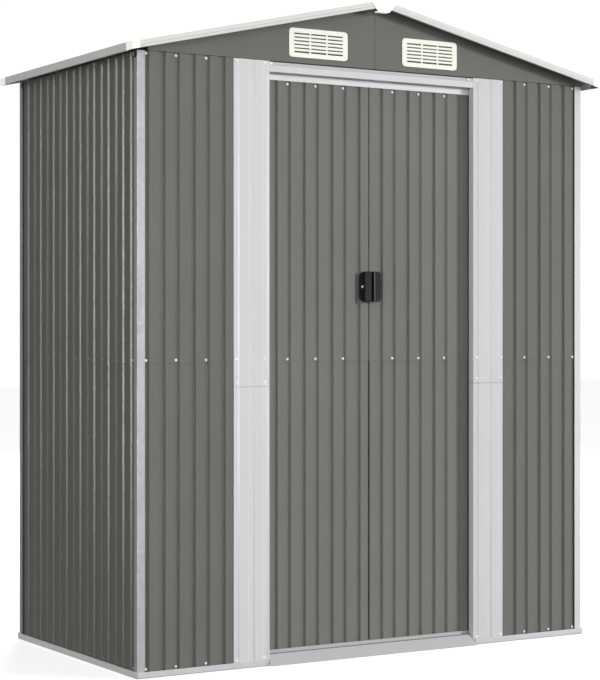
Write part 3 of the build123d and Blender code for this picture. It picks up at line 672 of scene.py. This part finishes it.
# ------------------------------------------------------------------ gables
UNDER = ROOF_RIB_TOP - ROOF_RIB_H - 1.0
GY = -BY - 7.0


def under(x, drop=1.0):
    return UNDER - drop - SLOPE * abs(x)


def gable_half():
    """Right half: a flat sheet folded back along its foot, with the vent's opening."""
    xs = [0.6, 133.0, 321.0, 866.0]
    sec = [("top", GY), (2105.0, GY), (2035.0, GY)] + [
        (q[1], q[0]) for q in rounded([(GY, 2020.0), (GY, 2002.6), (-BY + 20.0, 2002.6)], 1.6, None, 3)[1:]]
    flat = [(GY, 2150.0), (GY, 2105.0), (GY, 2035.0)] + [(b, a) for a, b in sec[3:]]
    inner = offset(flat, -1.2)

    def pos(i, j, k):
        y, z = flat[i] if k == 0 else inner[i]
        if i == 0:
            z = under(xs[j])
            y = GY if k == 0 else GY + 1.2
        elif z > 2010.0:
            z = min(z, under(xs[j]) - 3.0 * i)
        return (xs[j], y, z)
    return cells(len(flat), len(xs), pos, lambda i, j: not (i == 1 and j == 1))


gh = gable_half()
gl = mir(gh, -1)
emit("gable_front_skin", [gh, gl], "sheet_grey_front", "shed", "gable_front")
emit("gable_back_skin", [to_back(gh), to_back(gl)], "sheet_grey", "shed", "gable_back")


# ------------------------------------------------------------------ louvre vents
def vent_parts(sign):
    cx, cz = 227.0 * sign, 2070.0
    y0 = GY - 3.1
    hw, hh, rc = 115.0, 48.5, 12.0
    cols = [-65.8, 0.0, 65.8]
    zs = [-30.5 + 12.2 * r for r in range(6)]
    xs = sorted([-hw + rc * (1 - math.cos(a)) for a in (0.0, 0.35, 0.7, 1.05, math.pi / 2)]
                + [hw - rc * (1 - math.cos(a)) for a in (0.0, 0.35, 0.7, 1.05, math.pi / 2)]
                + [c + s * 30.2 for c in cols for s in (-1, 1)])
    hs = [2.9, 2.2, 2.2, 2.2, 2.2, 2.5]
    rows = [-hh] + [z + s * h for z, h in zip(zs, hs) for s in (-1, 1)] + [hh]

    def edge(x):
        d = rc - (hw - abs(x))
        return hh if d <= 0 else hh - rc + math.sqrt(max(0.0, rc * rc - d * d))

    def pos(i, j, k):
        z = rows[j]
        e = edge(xs[i])
        z = max(-e, min(e, z))
        return (cx + xs[i], y0 if k == 0 else y0 + 2.6, cz + z)

    def ex(i, j):
        xm = (xs[i] + xs[i + 1]) / 2
        zm = (rows[j] + rows[j + 1]) / 2
        return not (any(abs(xm - c) < 30.2 for c in cols) and any(abs(zm - z) < h for z, h in zip(zs, hs)))
    parts = [(*cells(len(xs), len(rows), pos, ex), 0)]
    # a sloping blade fills the back of each slot; its dark finish is painted shade
    for c in cols:
        for z in zs:
            sec = [(y0 + 3.4, cz + z + 0.4), (y0 + 4.4, cz + z + 0.4), (y0 + 10.0, cz + z + 5.8),
                   (y0 + 9.0, cz + z + 5.8)]
            parts.append((*prism(sec, "x", cx + c - 30.6, cx + c + 30.6), 1))
    return parts


vp = vent_parts(-1) + vent_parts(1)
# the vent plates glow with painted light
emit("gable_vents_front", vp, "cream_plastic", "shed", "gable_vents",
     mats=["cream_plastic", "vent_shade"])
emit("gable_vents_back", [to_back(p) for p in vp], "cream_plastic", "shed", "gable_vents",
     mats=["cream_plastic", "vent_shade"])


# ------------------------------------------------------------------ roof
def roof_place(u, d, w):
    return (-6.0 - d * SIN - w * COS, u, ROOF_RIB_TOP - ROOF_RIB_H - SLOPE * 6.0 + d * COS - w * SIN)


roof = ribbed(-(ROOF_Y - 2.6), ROOF_Y - 2.6, SIDE_BOLT - 55.0, [0.0, (ROOF_X - 11.0) / COS], roof_place,
              0.0, ROOF_RIB_H)
emit("roof_panel_left_skin", [roof], "roof_grey", "shed", "roof_panel_left",
     mats=["roof_grey", "roof_under_painted_light"], under=True)
emit("roof_panel_right_skin", [mir(roof, -1)], "roof_grey", "shed", "roof_panel_right",
     mats=["roof_grey", "roof_under_painted_light"], under=True)

zc = ROOF_RIB_TOP + 2.1
cap_pts = [(-60.0, zc - SLOPE * 60 - 2.4), (-58.0, zc - SLOPE * 58), (-9.0, zc - SLOPE * 9), (9.0, zc - SLOPE * 9),
           (58.0, zc - SLOPE * 58), (60.0, zc - SLOPE * 60 - 2.4)]
emit("roof_ridge_cap_skin", [strip(cap_pts, 1.2, "y", [-ROOF_Y + 3.0, ROOF_Y - 3.0], r=[0, 1.0, 24.0, 24.0, 1.0, 0])],
     "white_steel", "shed", "roof_ridge_cap")

purl = []
for xc, hw, tall in ((0.0, 20.0, 40.0), (-450.0, 15.0, 30.0), (450.0, 15.0, 30.0)):
    zt = min(under(xc - hw, 1.5), under(xc + hw, 1.5))
    ln = BY + 7.0 - 2.6
    purl.append(strip([(xc - hw, zt - tall), (xc - hw, zt), (xc + hw, zt), (xc + hw, zt - tall)], 1.5, "y",
                      [-ln, ln - BACK_IN], r=2.0))
emit("roof_purlins_skin", purl, "frame_steel", "shed", "roof_purlins")


def trim_line(x):
    return TRIM_LOW - SLOPE * abs(x)


def gable_trim():
    """Right half of the front trim: a folded strip, its lower band and fold line painted darker as shade."""
    xa, xb = 26.0, ROOF_X - 25.5
    sec = [(-ROOF_Y + 9.0, 0.0), (-ROOF_Y, 0.0), (-ROOF_Y, 8.8), (-ROOF_Y + 0.9, 10.8), (-ROOF_Y + 0.9, TRIM_TALL),
           (-ROOF_Y + 19.0, TRIM_TALL)]
    line = rounded(sec, [0, 1.2, 0.4, 0.4, 1.6, 0], None, 3)
    inner = offset(line, 1.2)
    xs = [xa, xb]

    def pos(i, j, k):
        y, dz = line[i] if k == 0 else inner[i]
        return (xs[j], y, trim_line(xs[j]) + dz)

    # painted shade: the lower band and the fold line are darker
    def band(x, y, z):
        dz = z - trim_line(x)
        return 1 if dz < 8.7 else (2 if dz < 10.9 else 0)
    return (*cells(len(line), 2, pos), band)


gt = gable_trim()
emit("roof_trim_gables_skin", [gt, mir(gt, -1), mir(gt, 1, -1), mir(gt, -1, -1)], "trim_white", "shed",
     "roof_trim_gables", mats=["trim_white", "trim_shade", "trim_line"])

EAVE_LOW = trim_line(ROOF_X)
EAVE_TALL = 27.5
ey = ROOF_Y - 48.5
eave_pts = [(-ROOF_X + 9.0, EAVE_LOW), (-ROOF_X, EAVE_LOW), (-ROOF_X, EAVE_LOW + EAVE_TALL),
            (-ROOF_X + 9.0, EAVE_LOW + EAVE_TALL - 0.6)]
eave = strip(eave_pts, 1.4, "y", [-ey, ey], r=[0, 1.6, 1.8, 0])
# the eave trims take painted light
emit("roof_trim_eaves_skin", [eave, mir(eave, -1)], "eave_white_painted_light", "shed", "roof_trim_eaves")


def corner_cap():
    """Front-left cap: two walls meeting at the corner under a top that follows the roof."""
    x, y = -ROOF_X, -ROOF_Y
    line = rounded([(x + 25.0, y), (x, y), (x, y + 48.0)], 3.0, None, 4)
    inner = offset(line, 2.2)
    zs = (EAVE_LOW, EAVE_LOW + EAVE_TALL)

    def pos(i, j, k):
        p = line[i] if k == 0 else inner[i]
        rise = SLOPE * (p[0] - x)
        top = zs[1] + (rise if p[1] < y + 4 else rise)
        return (p[0], p[1], zs[0] + (rise if p[1] < y + 2.5 else 0.0) if j == 0 else top)
    walls = cells(len(line), 2, pos)
    z1 = EAVE_LOW + EAVE_TALL
    top = prism([(x + 1.6, z1 - 2.4 + SLOPE * 1.6), (x + 25.0, z1 - 2.4 + SLOPE * 25.0),
                 (x + 25.0, z1 - 0.2 + SLOPE * 25.0), (x + 1.6, z1 - 0.2 + SLOPE * 1.6)], "y", y + 1.6, y + 48.0)

    # painted shade: faces inside the caps take the dark finish
    def inside(px_, py_, pz_):
        if abs(px_) > ROOF_X - 1.2 or abs(py_) > ROOF_Y - 1.2:
            return 0
        return int(pz_ < z1 + SLOPE * (ROOF_X - abs(px_)) - 1.2)
    return [(*walls, inside), (*top, inside)]


def ridge_end():
    y = -ROOF_Y - 3.6
    zt = ROOF_RIB_TOP + 3.2 + 9.0
    pts = [(-22.0, 2189.5), (22.0, 2189.5), (48.0, 2222.0), (62.0, zt - SLOPE * 62.0), (0.0, zt),
           (-62.0, zt - SLOPE * 62.0), (-48.0, 2222.0)]
    loop = rounded([pts[-1]] + pts + [pts[0]], [0, 4, 4, 3, 3, 14, 3, 3, 0], None, 3)[1:-1]
    face = prism(loop, "y", y, y + 3.0)
    hood = prism([(-62.0, zt - 9 - SLOPE * 62.0), (0.0, zt - 9), (62.0, zt - 9 - SLOPE * 62.0),
                  (62.0, zt - 6.5 - SLOPE * 62.0), (0.0, zt - 6.5), (-62.0, zt - 6.5 - SLOPE * 62.0)],
                 "y", y + 2.0, -ROOF_Y + 23.0)
    foot = slab(-22.0, 22.0, y + 2.0, -ROOF_Y + 23.0, 2189.7, 2193.3)
    return [face, hood, foot]


cc = corner_cap()
re_ = ridge_end()
caps = []
for sx, sy in ((1, 1), (-1, 1), (1, -1), (-1, -1)):
    caps += [mir(p, sx, sy) for p in cc]
for sy in (1, -1):
    caps += [mir(p, 1, sy) for p in re_]
# the caps glow with painted light; their inner faces take painted shade
emit("roof_end_caps_skin", caps, "cap_cream_painted_glow", "shed", "roof_end_caps", bevel=0.5,
     mats=["cap_cream_painted_glow", "cap_shade"])


# ------------------------------------------------------------------ sliding leaves
def leaf(x0, x1, bolt, tag, sign):
    body = f"door_{tag}"
    lp = front_place(LB)
    # the meeting edge is folded back on each leaf; its faces take a lighter grey, painted light against the seam's
    # shade
    def meeting(x, y, z):
        return int(abs(x) < 1.9)

    # the left leaf's edge laps behind the right one's, between the rails
    def between_rails(u, d, lo, hi):
        return u < x1 + 1.2 or (lo > LEAF_BOTTOM + 17.5 and hi < LEAF_TOP - 29.5)

    if sign < 0:
        u0, u1, kw = x0 + 1.0, x1 + 1.1, {"tail": [(x1 + 1.1, -2.3), (x1 + 9.5, -2.3)], "exists": between_rails}
    else:
        u0, u1, kw = x0 - 1.1, x1 - 1.0, {"lead": [(x0 - 1.1, -1.0)]}
    emit(f"door_{tag}_sheet_lower_skin",
         [(*ribbed(u0, u1, bolt, [LEAF_BOTTOM + 3.0, LEAF_BOTTOM + 18.0, LAP_TOP], lp, LAP, bend=CRISP, **kw), meeting)],
         "sheet_grey_leaf", body, f"door_{tag}_sheet_lower", mats=["sheet_grey_leaf", "sheet_edge_painted_light"])
    emit(f"door_{tag}_sheet_upper_skin",
         [(*ribbed(u0, u1, bolt, UP_ROWS[:4] + [LEAF_TOP - 30.0, LEAF_TOP - 3.0], lp, 0.0, flare=lap_flare, bend=CRISP,
                   **kw), meeting)],
         "sheet_grey_leaf", body, f"door_{tag}_sheet_upper", mats=["sheet_grey_leaf", "sheet_edge_painted_light"])
    yf, yb = -BY + 25.0, LB + 4.0
    top_pts = [(yf, LEAF_TOP - 28.0), (yf, LEAF_TOP - 19.5), (yf + 0.7, LEAF_TOP - 18.8),
               (yf + 0.7, LEAF_TOP - 10.5), (yf, LEAF_TOP - 9.8), (yf, LEAF_TOP), (yb, LEAF_TOP),
               (yb, LEAF_TOP - 28.0)]
    xa, xb = (x0, x1 + 1.3) if sign < 0 else (x0 - 1.3, x1)
    parts = [strip(top_pts, 1.3, "x", [xa, xb], r=[0, 0.5, 0.5, 0.5, 0.5, 1.8, 1.8, 0]),
             (*strip([(yf, LEAF_BOTTOM + 16), (yf, LEAF_BOTTOM), (yb, LEAF_BOTTOM), (yb, LEAF_BOTTOM + 16)], -1.3,
                     "x", [xa, xb], r=[0, 1.8, 1.8, 0]), 1)]
    xe = (xb - 1.2, xb + 2.1) if sign < 0 else (xa, xa + 1.2)
    parts.append(slab(*xe, yf + 0.8, yb - 0.2, LEAF_TOP - 27.5, LEAF_TOP - 0.6))
    parts.append((*slab(*xe, yf + 0.8, yb - 0.2, LEAF_BOTTOM + 0.6, LEAF_BOTTOM + 15.5), 1))
    # top rail and its end plate in painted light; bottom rail and its end plate (index 1) in painted shade
    emit(f"door_{tag}_rails_skin", parts, "rail_white_painted_light", body, f"door_{tag}_rails",
         mats=["rail_white_painted_light", "rail_low_painted_shade"])
    hang = []
    for xc in (x0 + 60.0, x1 - 60.0):
        ring = rounded([(xc - 20, LEAF_TOP - 1.4), (xc - 20, LEAF_TOP + 18), (xc + 20, LEAF_TOP + 18),
                        (xc + 20, LEAF_TOP - 1.4)], 6.0, None, 4)
        hang.append(prism(ring, "y", LB - 5.5, LB - 3.5))
        zc_ = LEAF_TOP + 11.0
        hang.append(lathe((xc, LB - 4.2, zc_), (0, 1, 0),
                          [(0, 0), (0, 7.6), (0.6, 8.6), (1.6, 9.0), (2.6, 8.6), (3.1, 8.0), (4.3, 8.0), (4.8, 8.6),
                           (5.8, 9.0), (6.6, 8.6), (7.0, 7.8), (7.0, 3.2), (7.6, 3.0), (7.6, 0)], 28))
        hang.append(lathe((xc, LB - 5.4, zc_), (0, -1, 0), [(0, 0), (0, 4.6), (1.2, 4.6), (1.8, 3.8), (2.2, 0)], 18))
    emit(f"door_{tag}_hangers", hang, "frame_steel", body, f"door_{tag}_rails", bevel=0.0)
    shoes = []
    for xc in (x0 + 60.0, x1 - 60.0):
        ring = [(LB - 10, 8.0), (LB - 6.2, 8.0), (LB - 6.2, 25.5), (LB + 6.2, 25.5), (LB + 6.2, 8.0), (LB + 10, 8.0),
                (LB + 10, 30.0), (LB - 10, 30.0)]
        shoes.append(prism(ring, "x", xc - 15, xc + 15))
    emit(f"door_{tag}_shoes_skin", shoes, "black_plastic", body, f"door_{tag}_shoes", bevel=0.8)

    # pull: one folded plate, from its outer edge to the upright and back out to the grip
    hx = x1 if sign < 0 else x0
    yp = -BY + 27.0
    t = 3.0
    line = rounded([(41.0, -3.0), (20.0, -3.0), (5.5, -3.0), (5.5, -21.0), (20.0, -21.0), (30.0, -21.0)],
                   [0, 0, 2.0, 2.0, 0, 0], None, 4)
    z0, z1 = 1208.0, 1311.5

    # dense stations near the two ends, for the rounded corners
    def dense(a, b, n, r):
        return [(a[0] + (b[0] - a[0]) * q, a[1] + (b[1] - a[1]) * q)
                for q in ((1 - math.cos(math.pi / 2 * k / n)) for k in range(n + 1))]
    st = []
    for k in range(9):
        q = 20.0 * (1 - math.cos(math.pi / 2 * k / 8))
        st.append(((41.0 - q, -3.0), 20.0 - math.sqrt(max(0.0, 400.0 - (20.0 - q) ** 2)) if q < 20 else 0.0))
    for p in line[2:-2]:
        st.append((p, 0.0))
    for k in range(9):
        q = 13.0 * math.sin(math.pi / 2 * k / 8)
        st.append(((17.0 + q, -21.0), 13.0 - math.sqrt(max(0.0, 169.0 - q * q))))
    mid = [s[0] for s in st]
    inn = offset(mid, 3.0)
    sec = []
    for (p, cut), q in zip(st, inn):
        sec.append((p, q, cut))
    rr = []
    for p, q, cut in sec:
        a = (hx + sign * p[0], yp + p[1])
        b = (hx + sign * q[0], yp + q[1])
        rr.append([(a[0], a[1], z0 + cut), (b[0], b[1], z0 + cut), (b[0], b[1], z1 - cut), (a[0], a[1], z1 - cut)])
    emit(f"door_{tag}_handle_skin", [rings(rr)], "black_plastic", body, f"door_{tag}_handle",
         bevel=0.7)


leaf(-LEAF_GAP - LEAF_W, -LEAF_GAP, -322.7, "left", -1)
leaf(LEAF_GAP, LEAF_GAP + LEAF_W, 99.5, "right", 1)


# ------------------------------------------------------------------ bolts
def bolt(c, n, plain, r=5.5):
    """Pan head on a washer; unless plain, the washer ring is painted dark as shade."""
    washer = lathe(c, n, [(-0.2, 0), (-0.2, r), (0.7, r), (1.0, r - 0.4), (1.0, 0)], 18)
    head = lathe(c, n, [(0.8, 0), (0.8, r - 0.7), (1.7, r - 0.75), (2.4, r - 1.5), (2.9, r - 2.8), (3.1, 0)], 18)
    return [(*washer, 0 if plain else 1), (*head, 0)]


def bolts(name, places, body, mat="bolt"):
    parts = []
    for c, n in places:
        # jamb bolts keep a plain washer; elsewhere the washer carries painted shade
        parts += bolt(c, n, 400.0 < abs(c[0]) < 560.0 and n[1] < 0)
    emit(name, parts, mat, body, (), mats=[mat, "washer"])


ROWS = (27.2, 1013.3, 1993.8)
F, L = (0, -1, 0), (-1, 0, 0)
fl = []
for k in range(3):
    for z in ROWS:
        d = {27.2: 2 * LAP, 1013.3: LAP, 1993.8: LAP}[z]
        fl.append(((FRONT_BOLT + PITCH * k + (1.8 if k == 0 else -1.0), -BY + d, z), F))
for k in range(3):
    for z in ROWS:
        d = {27.2: 2 * LAP, 1013.3: LAP, 1993.8: LAP}[z]
        fl.append(((RIGHT_BOLT - PITCH * k - 1.0, -BY + d, z), F))
for x in (-540.6, -433.8, 433.5, 538.1):
    for z in (27.2, 938.6, 1013.3, 1993.8):
        fl.append(((x, -BY - JAMB_LOW, z), F))
bolts("bolts_front", fl, "shed")
sd = []
for k in range(9):
    for z in ROWS:
        sd.append(((-BX + (LAP if z < 100 else 0.0), min(SIDE_BOLT + PITCH * k - 1.0, 434.5), z), L))
# the side walls' bolts take painted shade
bolts("bolts_left", sd, "shed", "bolt_painted_shade")
bolts("bolts_right", [((-c[0], c[1], c[2]), (1, 0, 0)) for c, n in sd], "shed", "bolt_painted_shade")
bk = []
for k in range(16):
    for z in ROWS:
        bk.append(((FRONT_BOLT + PITCH * k - 1.0, BY - BACK_IN - (LAP if z < 100 else 0.0), z), (0, 1, 0)))
bolts("bolts_back", bk, "shed")
hd = [((x, -486.0, 1994.3), F) for x in (-409.5, 394.0)]
bolts("bolts_header", hd, "shed")
for tag, xs in (("left", (-322.7, -212.7, -102.7)), ("right", (99.5, 209.5, 319.5))):
    lf = []
    for x in xs:
        lf.append(((x - 1.0, LB, 1013.3), F))
        lf.append(((x - 1.0, LB, 1935.0), F))
    bolts(f"bolts_door_{tag}", lf, f"door_{tag}")
for tag, s in (("left", -1), ("right", 1)):
    emit(f"handle_screw_{tag}", [lathe((s * 29.5, -BY + 24.0, 1259.7), F,
                                       [(-0.3, 0), (-0.3, 5.0), (0.6, 5.0), (1.5, 4.2), (2.1, 2.6), (2.2, 0)], 22)],
         "bolt", f"door_{tag}")

# ------------------------------------------------------------------ stage, light and camera
me = bpy.data.meshes.new("floor")
me.from_pydata([(-30, -30, 0), (30, -30, 0), (30, 30, 0), (-30, 30, 0)], [], [(0, 1, 2, 3)])
floor = bpy.data.objects.new("floor", me)
floor.location = (0, 0, -0.0006)
scene.collection.objects.link(floor)
fm = bpy.data.materials.new("studio_floor")
fm.use_nodes = True
fb = next(n for n in fm.node_tree.nodes if n.type == "BSDF_PRINCIPLED")
fb.inputs["Base Color"].default_value = (0.80, 0.80, 0.80, 1)
fb.inputs["Roughness"].default_value = 0.9
fb.inputs["Specular IOR Level"].default_value = 0.1
fb.inputs["Emission Color"].default_value = (1, 1, 1, 1)
fb.inputs["Emission Strength"].default_value = 0.62
me.materials.append(fm)
floor.visible_diffuse = False
floor.visible_glossy = False

world = bpy.data.worlds.new("studio")
scene.world = world
world.use_nodes = True
wt = world.node_tree
for n in list(wt.nodes):
    wt.nodes.remove(n)
out = wt.nodes.new("ShaderNodeOutputWorld")
bg_light = wt.nodes.new("ShaderNodeBackground")
bg_seen = wt.nodes.new("ShaderNodeBackground")
bg_seen.inputs[0].default_value = (1, 1, 1, 1)
bg_seen.inputs[1].default_value = 1.05
lp = wt.nodes.new("ShaderNodeLightPath")
mixs = wt.nodes.new("ShaderNodeMixShader")
tcw = wt.nodes.new("ShaderNodeTexCoord")
sp = wt.nodes.new("ShaderNodeSeparateXYZ")
wt.links.new(tcw.outputs["Generated"], sp.inputs[0])
mr = wt.nodes.new("ShaderNodeMapRange")
for i, v in enumerate((-1.0, 1.0, 0.10, 0.56)):
    mr.inputs[i + 1].default_value = v
wt.links.new(sp.outputs[2], mr.inputs[0])
behind = wt.nodes.new("ShaderNodeMapRange")
for i, v in enumerate((0.0, 0.9, 1.0, 0.40)):
    behind.inputs[i + 1].default_value = v
wt.links.new(sp.outputs[1], behind.inputs[0])
both = wt.nodes.new("ShaderNodeMath")
both.operation = "MULTIPLY"
wt.links.new(mr.outputs[0], both.inputs[0])
wt.links.new(behind.outputs[0], both.inputs[1])
wt.links.new(both.outputs[0], bg_light.inputs[1])
bg_light.inputs[0].default_value = (1, 1, 1, 1)
wt.links.new(lp.outputs["Is Camera Ray"], mixs.inputs[0])
wt.links.new(bg_light.outputs[0], mixs.inputs[1])
wt.links.new(bg_seen.outputs[0], mixs.inputs[2])
wt.links.new(mixs.outputs[0], out.inputs[0])


def area(name, loc, target, size, power, colour=(1, 1, 1)):
    ld = bpy.data.lights.new(name, "AREA")
    ld.shape = "RECTANGLE"
    ld.size, ld.size_y = size
    ld.energy = power
    ld.color = colour
    lo = bpy.data.objects.new(name, ld)
    lo.location = loc
    lo.rotation_euler = (Vector(target) - Vector(loc)).to_track_quat("-Z", "Y").to_euler()
    lo.visible_camera = False
    scene.collection.objects.link(lo)
    return lo


key = area("key", (8.0, -8.5, 3.15), (0.0, -0.4, 1.1), (1.8, 1.8), 810.0)
key.visible_glossy = False
gloss = area("gloss", (8.3, -5.7, 0.3), (0.5, -0.4, 0.9), (4.0, 4.0), 220.0)
gloss.visible_diffuse = False
area("fill", (-3.2, -8.0, 3.0), (-0.4, -0.4, 1.2), (2.4, 2.4), 110.0)
side = area("side", (-9.0, -3.0, 1.1), (-0.9, 0.0, 1.1), (4.5, 3.0), 112.0)
side.visible_glossy = False
sheen = area("sheen", (-1.6, -2.7, 1.25), (-0.9, -0.44, 1.15), (0.6, 1.9), 122.0)
sheen.visible_diffuse = False
sheen_side = area("sheen_side", (-3.8, -3.1, 2.5), (-0.9, -0.4, 1.6), (0.6, 0.6), 60.0)
sheen_side.visible_diffuse = False
back = area("back", (4.5, 9.0, 3.6), (0.2, 0.4, 1.1), (3.0, 3.0), 950.0)
back.visible_glossy = False

cam = bpy.data.cameras.new("camera")
cam.lens = 102.49
cam.sensor_width = 36.0
cam.sensor_fit = "AUTO"
cam.shift_x = 0.0
cam.shift_y = -0.0111
cam.clip_end = 200.0
co = bpy.data.objects.new("camera", cam)
co.location = (-3.6440, -6.0219, 1.1027)
co.rotation_euler = (math.radians(90.0), 0.0, math.radians(-31.152))
scene.collection.objects.link(co)
scene.camera = co

scene.view_settings.view_transform = "Standard"
scene.view_settings.look = "None"
scene.view_settings.exposure = 0.0
scene.view_settings.gamma = 1.0
